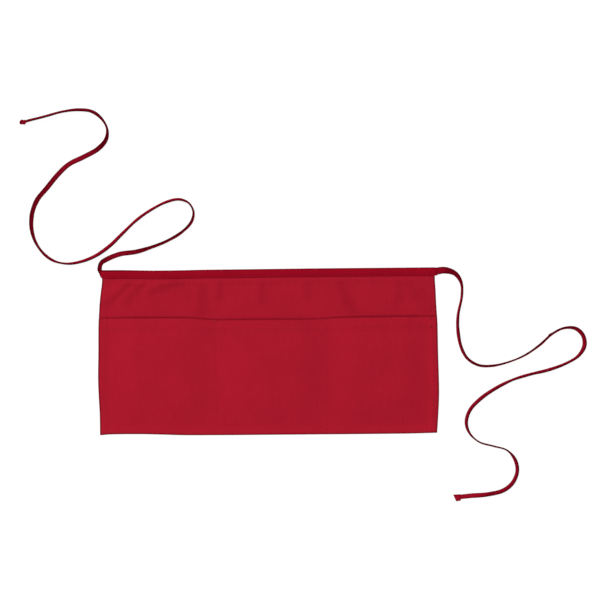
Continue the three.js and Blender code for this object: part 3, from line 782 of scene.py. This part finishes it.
# Route from the waistband's end: x and y in mm, width as a share of the tie's, roll in
# degrees from lying flat.
left_route = (
    (2.0, 2.6, 0.62, 6), (1.1, 9.6, 0.98, 46), (4.1, 20.0, 1, 44), (12.2, 25.8, 1, 30),
    (36.4, 35.7, 1, 18), (66.4, 39.7, 1, 37), (94.3, 47.7, 1, 67), (122.6, 58.8, 1, 72),
    (148.9, 74.4, 1, 70), (165.7, 91.8, 1, 73), (170.0, 109.7, 1, 82), (161.8, 125.9, 1, 78),
    (144.8, 133.0, 1, 69), (122.5, 128.9, 1, 65), (94.8, 115.2, 1, 66), (69.4, 97.9, 1, 65),
    (43.2, 73.7, 1, 60), (19.5, 51.1, 1, 54), (-5.1, 34.0, 1, 54), (-30.7, 23.6, 1, 64),
    (-56.7, 19.7, 1, 76), (-80.1, 24.8, 1, 76), (-99.2, 38.7, 1, 74), (-113.2, 59.5, 1, 71),
    (-119.9, 84.1, 1, 58), (-118.6, 110.0, 1, 49), (-109.6, 133.9, 1, 39), (-92.3, 154.9, 1, 33),
    (-71.6, 179.7, 1, 24), (-52.3, 197.4, 1, 20), (-24.2, 211.1, 1, 18), (0.5, 224.8, 1, 35),
    (14.8, 241.3, 1, 58), (16.8, 259.8, 1, 81), (6.6, 278.9, 1, 73), (-10.5, 291.6, 1, 57),
    (-35.6, 294.8, 1, 62), (-63.5, 291.5, 1, 69), (-95.6, 283.1, 1, 65), (-131.8, 274.3, 1, 65),
)
right_route = (
    (-3.2, 0.2, 1.56, 0), (12.8, 2.1, 1.40, 0), (31.3, -4.1, 1.04, 38), (42.0, -20.8, 1, 72),
    (42.8, -44.3, 1, 73), (35.8, -78.6, 1, 71), (35.4, -106.7, 1, 68), (41.3, -137.0, 1, 69),
    (52.4, -156.6, 1, 73), (72.0, -168.4, 1, 72), (96.1, -169.7, 1, 76), (126.4, -162.8, 1, 79),
    (155.6, -150.7, 1, 77), (182.6, -132.4, 1, 73), (203.3, -114.0, 1, 74), (224.6, -103.5, 1, 74),
    (245.6, -104.2, 1, 56), (258.9, -116.8, 1, 54), (261.2, -135.2, 1, 54), (250.2, -153.0, 1, 71),
    (227.5, -166.6, 1, 75), (195.8, -177.8, 1, 68), (161.5, -185.9, 1, 70), (130.5, -195.6, 1, 75),
    (99.7, -211.0, 1, 66), (73.2, -229.4, 1, 62), (55.1, -249.2, 1, 60), (48.8, -270.5, 1, 64),
    (54.4, -289.4, 1, 80), (71.3, -305.3, 1, 84), (97.1, -313.2, 1, 81), (121.4, -320.8, 1, 85),
    (135.3, -337.5, 1, 67), (139.2, -358.2, 1, 67), (130.8, -379.0, 1, 58), (113.9, -392.5, 1, 54),
    (86.9, -399.1, 1, 46), (55.1, -401.8, 0.97, 22), (37.4, -403.6, 0.97, 4), (27.2, -404.6, 1.02, 0),
)
# The folded tape in section, as shares of half its width and thickness: a rounded fold
# on one side, and on the other two lips with the open slit between them.
tie_section = (
    (0.30, 0.97), (0.0, 1.0), (-0.30, 0.97), (-0.55, 0.92), (-0.76, 0.74), (-0.90, 0.48),
    (-0.98, 0.18), (-0.98, -0.18), (-0.90, -0.48), (-0.76, -0.74), (-0.55, -0.92), (-0.30, -0.97),
    (0.0, -1.0), (0.30, -0.97), (0.54, -0.84), (0.66, -0.80), (0.78, -0.86), (0.92, -0.72),
    (0.99, -0.45), (0.95, -0.16), (0.80, 0.0), (0.95, 0.16), (0.99, 0.45), (0.92, 0.72),
    (0.78, 0.86), (0.66, 0.80), (0.54, 0.84),
)
tie_step = 2.6 * mm
# The left tie is pulled narrow where it enters its knot.
knot_pinch = 0.55
# The right tie's end is turned in and sewn: wider and thicker than the tie, and cut at a
# slant. A knot in the tape's yarn makes a nub part of the way along.
hem_run = 10.2 * mm
hem_slant = 4.4 * mm
hem_steps = (12.4, 11.4, 11.0, 10.6, 10.2, 9.8, 9.2, 8.6, 8.0, 7.0, 5.5, 4.0, 2.5, 1.2, 0.5, 0.2, 0)
nub_place = Vector((503.4 * mm, 26.2 * mm))
# The line along which the right tie folds over itself, painted darker as shade.
fold_start = Vector((382.0 * mm, -262.5 * mm))
fold_end = Vector((407.2 * mm, -252.0 * mm))
# Stretches over which a tie turns darker or brighter: their first and last ring, counted
# back from the end where below 0, and the change of shade.
left_shades = ((-90, -70, 0.40),)
right_shades = ((2, 7, 0.30), (20, 34, -0.30), (-36, -22, -0.34), (-5, -2, 0.40))


def blend(start, end, start_time, end_time, time):
    """The point at a time on the straight line through two timed points."""
    span = end_time - start_time
    return start * ((end_time - time) / span) + end * ((time - start_time) / span)


def tie_path(route, exit_x, hemmed):
    """Points, widths, rolls and lengths so far along a smooth curve through the route."""
    points = [Vector((exit_x + x * mm, exit_height + y * mm)) for x, y, width, roll in route]
    ends = [points[0] * 2 - points[1]] + points + [points[-1] * 2 - points[-2]]
    dense, places = [], []
    for k in range(len(points) - 1):
        before, start, end, after = ends[k:k + 4]
        times = [0.0]
        for a, b in ((before, start), (start, end), (end, after)):
            times.append(times[-1] + math.sqrt((b - a).length))
        for i in range(40):
            t = times[1] + (times[2] - times[1]) * i / 40
            first = blend(before, start, times[0], times[1], t)
            second = blend(start, end, times[1], times[2], t)
            third = blend(end, after, times[2], times[3], t)
            one = blend(first, second, times[0], times[2], t)
            two = blend(second, third, times[1], times[3], t)
            dense.append(blend(one, two, times[1], times[2], t))
            places.append((k + i / 40) / (len(points) - 1))
    dense.append(points[-1])
    places.append(1.0)
    dense = np.array([tuple(point) for point in dense])
    lengths = np.concatenate(([0], np.cumsum(np.hypot(*np.diff(dense, axis=0).T))))
    steps = np.linspace(0, lengths[-1], round(lengths[-1] / tie_step) + 1)
    if hemmed:
        to_end = np.array(hem_steps) * mm
        steps = np.concatenate((steps[steps < lengths[-1] - 13.5 * mm], lengths[-1] - to_end))
    x, y = np.interp(steps, lengths, dense[:, 0]), np.interp(steps, lengths, dense[:, 1])
    place = np.interp(steps, lengths, places)
    row_places = np.linspace(0, 1, len(route))
    width = read_rows([(p, row[2]) for p, row in zip(row_places, route)], place)
    roll = read_rows([(p, row[3]) for p, row in zip(row_places, route)], place)
    return np.stack((x, y), axis=1), width, np.radians(roll), steps


def tie_rings(route, exit_x, seed, hemmed):
    """The tape's section set down on the table at each step of the route."""
    centres, widths, rolls, steps = tie_path(route, exit_x, hemmed)
    ahead = np.gradient(centres, axis=0)
    ahead /= np.linalg.norm(ahead, axis=1)[:, None]
    rings, middles = [], []
    for centre, forward, width, roll, along in zip(centres, ahead, widths, rolls, steps):
        wobble = noise.noise(Vector((along / (17 * mm), seed, 0)))
        wobble += 0.6 * noise.noise(Vector((along / (7 * mm), seed, 2)))
        half_width = tie_width / 2 * width * (1 + 0.045 * wobble)
        half_thick = tie_thickness / 2 * (1 + 0.08 * noise.noise(Vector((along / (9 * mm), seed, 4))))
        turn = roll + 0.13 * noise.noise(Vector((along / (26 * mm), seed, 9)))
        sideways = Vector((-forward[1], forward[0], 0))
        onward = Vector((forward[0], forward[1], 0))
        middle = Vector((centre[0], centre[1], 0))
        nub = ridge((middle.xy - nub_place).length, 2.4 * mm)
        half_thick *= 1 + 0.95 * nub
        middle += Vector((-0.6, 0.8, 0)) * mm * nub
        slant = 0
        to_end = steps[-1] - along
        if not hemmed:
            half_width *= knot_pinch + (1 - knot_pinch) * smooth(to_end, 1.5 * mm, 8 * mm)
        else:
            hem = 1 - smooth(to_end, hem_run - 0.1 * mm, hem_run + 0.5 * mm)
            half_width *= 1 + (0.38 + 0.05 * (1 - to_end / hem_run)) * hem
            half_thick *= (1 + 0.35 * hem) * (1 - 0.45 * ridge(to_end, 0.35 * mm))
            middle += sideways * 0.9 * mm * hem
            slant = hem_slant * (1 - smooth(to_end, 0, hem_run))
        turned = []
        for wide, thick in tie_section:
            w, t = wide * half_width, thick * half_thick
            flat = w * math.cos(turn) - t * math.sin(turn)
            up = w * math.sin(turn) + t * math.cos(turn)
            turned.append((wide, flat, up))
        spread = max(flat for wide, flat, up in turned) - min(flat for wide, flat, up in turned)
        seen_width = 2.10 * (half_width * math.cos(turn) + half_thick * math.sin(turn))
        puff = max(seen_width / spread, 1)
        ring = []
        for wide, flat, up in turned:
            ring.append(middle + sideways * flat * puff - onward * slant * wide / 2 + Vector((0, 0, up)))
        lowest = min(point.z for point in ring)
        for point in ring:
            point.z -= lowest
        rings.append(ring)
        middles.append((middle.x, middle.y, -lowest))
    return rings, middles, steps[-1]


def tie_piece(name, rings, seed, shade_steps):
    """A closed mesh from the rings, with painted shade at the tape's edges, in the slit, where it stands on
    edge or twists, and along the line where it folds over.
    """
    sides = len(tie_section)
    faces = []
    for k in range(len(rings) - 1):
        for s in range(sides):
            n = (s + 1) % sides
            faces.append((k * sides + s, k * sides + n, (k + 1) * sides + n, (k + 1) * sides + s))
    faces.append(tuple(range(sides - 1, -1, -1)))
    faces.append(tuple((len(rings) - 1) * sides + s for s in range(sides)))
    mesh = bpy.data.meshes.new(name)
    mesh.from_pydata([point for ring in rings for point in ring], [], faces)
    fold = fold_end - fold_start
    shades = []
    heights = np.array([max(point.z for point in ring) for ring in rings])
    # Painted shade where the tape stands on its edge and where it twists; the noise above is random tone.
    twist_shade = smooth(np.abs(np.gradient(heights)) / tie_step, 0.06, 0.25)
    on_edge_shade = smooth(heights, 3.5 * mm, 7.5 * mm)
    for index, ring in enumerate(rings):
        ring_tone_and_shade = 0.16 * noise.noise(Vector((index * 0.31, seed, 40))) + 0.10
        ring_tone_and_shade += 0.22 * on_edge_shade[index] + 0.22 * twist_shade[index]
        for first, last, change in shade_steps:
            from_ring = len(rings) if first < 0 else 0
            ring_tone_and_shade += change * smooth(index, from_ring + first, from_ring + last)
        for point, (wide, thick) in zip(ring, tie_section):
            # Painted shade: in the slit between the lips, along the line where the tape folds over, and
            # towards both edges.
            slit_shade = 0.5 * ridge(abs(wide) - 0.80, 0.07) * ridge(thick, 0.1)
            share = min(max((point.xy - fold_start).dot(fold) / fold.length_squared, 0), 1)
            creased = 0.8 * ridge((point.xy - fold_start - fold * share).length, 1.0 * mm)
            shades.append(max(0.75 * min(abs(wide), 1) ** 2.5, slit_shade, creased) + ring_tone_and_shade)
    shade = mesh.attributes.new("painted_shade_and_seams", "FLOAT", "POINT")
    shade.data.foreach_set("value", shades)
    mesh.polygons.foreach_set("use_smooth", [len(face) == 4 for face in faces])
    return link_piece(name, mesh)


def sew_edges(tie, rings, seed, hemmed):
    """Stitches down both faces of the tie, beside its open edge, made part of it."""
    upper_lip, lower_lip = 25, 15
    rows = []
    for place in (upper_lip, lower_lip):
        rows.append([(ring[place].x, ring[place].y, max(ring[place].z, 0.16 * mm)) for ring in rings[3:-6]])
    if hemmed:
        across_top = (4, 3, 2, 1, 0, 26, 25, 24)
        rows.append([rings[-9][place] + Vector((0, 0, 0.04 * mm)) for place in across_top])
    threads = sew(tie.name + "_stitches", rows, tie_tape, seed, 2.4 * mm, 1.8 * mm, 0.3 * mm)
    pair = [tie, threads]
    with bpy.context.temp_override(
        active_object=tie,
        object=tie,
        selected_objects=pair,
        selected_editable_objects=pair,
    ):
        bpy.ops.object.join()


tie_tape = woven_cloth("tie_tape", (0.285, 0.0045, 0.0155), (0.080, 0.0004, 0.0045), 0.55 * mm, 0.0)
left_rings, left_middles, left_length = tie_rings(left_route, band_left_end, 2.5, False)
left_tie = tie_piece("left_tie", left_rings, 2.5, left_shades)
left_tie.data.materials.append(tie_tape)
sew_edges(left_tie, left_rings, 13, False)
right_rings, right_middles, right_length = tie_rings(right_route, band_right_end, 7.5, True)
right_tie = tie_piece("right_tie", right_rings, 7.5, right_shades)
right_tie.data.materials.append(tie_tape)
sew_edges(right_tie, right_rings, 17, True)

# Knot
# The left tie's end is drawn into a small hard overhand knot, about one and a half
# tape widths long, whose turns bulge over one another.
knot_strand = 1.45
knot_steps = 110
knot_sides = 16
knot_low, knot_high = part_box("tie_left_knot")
knot_centre = (knot_low + knot_high) / 2
knot_size = (knot_high - knot_low) * 0.96
knot_points = []
for step in range(knot_steps):
    t = 2 * math.pi * step / knot_steps
    knot_points.append(Vector((
        math.sin(t) + 2 * math.sin(2 * t),
        1.1 * math.sin(3 * t),
        math.cos(t) - 2 * math.cos(2 * t),
    )))
knot_skin = []
for step, point in enumerate(knot_points):
    forward = (knot_points[(step + 1) % knot_steps] - knot_points[step - 1]).normalized()
    side = forward.cross(Vector((0, 0, 1))).normalized()
    up = side.cross(forward)
    for s in range(knot_sides):
        angle = 2 * math.pi * s / knot_sides
        pleat = 1 + 0.07 * math.cos(4 * angle + 9 * step / knot_steps)
        pleat += 0.10 * noise.noise(point * 0.9 + side * math.cos(angle) + up * math.sin(angle))
        outwards = side * math.cos(angle) * 1.08 + up * math.sin(angle) * 0.92
        knot_skin.append(point + outwards * knot_strand * pleat)
knot_skin = np.array([tuple(point) for point in knot_skin])
skin_low, skin_high = knot_skin.min(axis=0), knot_skin.max(axis=0)
knot_skin = (knot_skin - (skin_low + skin_high) / 2) / (skin_high - skin_low) * np.array(knot_size)
knot_skin += np.array((knot_centre.x, knot_centre.y, knot_size.z / 2))
knot_faces = []
for k in range(knot_steps):
    for s in range(knot_sides):
        n, m = (s + 1) % knot_sides, (k + 1) % knot_steps
        knot_faces.append((k * knot_sides + n, k * knot_sides + s, m * knot_sides + s, m * knot_sides + n))
knot_mesh = bpy.data.meshes.new("end_knot")
knot_mesh.from_pydata(knot_skin.tolist(), [], knot_faces)
# Painted shade on the knot: darker low down, where its turns tuck under, and over its left lobe.
painted_knot_shade = 1.0 - 0.75 * smooth(knot_skin[:, 2], 0.3 * knot_size.z, knot_size.z)
painted_knot_shade += 0.4 * (1 - smooth(knot_skin[:, 0] - knot_low.x, 2 * mm, 6 * mm))
knot_shade = knot_mesh.attributes.new("painted_shade_and_seams", "FLOAT", "POINT")
knot_shade.data.foreach_set("value", painted_knot_shade.astype(np.float32))
knot_mesh.polygons.foreach_set("use_smooth", [True] * len(knot_faces))
end_knot = link_piece("end_knot", knot_mesh)
end_knot.data.materials.append(tie_tape)

for piece, node in ((left_tie, "tie_left"), (right_tie, "tie_right"), (end_knot, "tie_left_knot")):
    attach(piece, "root")
    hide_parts(node)

# Studio
# The apron lies on a wide white table under soft light, seen from straight above with a
# long lens.
view_centre = Vector((57.5 * mm, 92.1 * mm, 0))
view_width = 1074 * mm
camera_turn = math.radians(-0.5)
camera_data = bpy.data.cameras.new("camera")
camera_data.lens = 100
camera_height = view_width * camera_data.lens / camera_data.sensor_width
camera = bpy.data.objects.new("camera", camera_data)
camera.location = view_centre + Vector((0, 0, camera_height))
camera.rotation_euler = (0, 0, camera_turn)
bpy.context.scene.collection.objects.link(camera)
bpy.context.scene.camera = camera

floor_half = 12.0
floor_mesh = bpy.data.meshes.new("studio_floor")
corners = [(x * floor_half, y * floor_half, 0) for x, y in ((-1, -1), (1, -1), (1, 1), (-1, 1))]
floor_mesh.from_pydata(corners, [], [(0, 1, 2, 3)])
floor = link_piece("studio_floor", floor_mesh)
white_table = bpy.data.materials.new("white_table")
white_table.use_nodes = True
set_inputs(white_table.node_tree.nodes["Principled BSDF"], {
    "Base Color": (0.10, 0.10, 0.10, 1),
    "Roughness": 1.0,
    "Specular IOR Level": 0.0,
    "Emission Color": (1, 1, 1, 1),
    "Emission Strength": 0.93,
})
floor.data.materials.append(white_table)

world = bpy.data.worlds.new("studio")
world.use_nodes = True
set_inputs(world.node_tree.nodes["Background"], {"Color": (1, 1, 1, 1), "Strength": 0.48})
bpy.context.scene.world = world


def soft_light(name, place, aim, size, watts):
    data = bpy.data.lights.new(name, "AREA")
    data.shape = "DISK"
    data.size = size
    data.energy = watts
    lamp = bpy.data.objects.new(name, data)
    lamp.location = place
    lamp.rotation_euler = (Vector(aim) - Vector(place)).to_track_quat("-Z", "Y").to_euler()
    bpy.context.scene.collection.objects.link(lamp)


soft_light("key", (-4.2, 3.4, 3.4), (0, 0, 0), 1.6, 485)
soft_light("fill", (4.5, -2.5, 4.5), (0, 0, 0), 3.0, 160)
bpy.context.scene.view_settings.view_transform = "Standard"
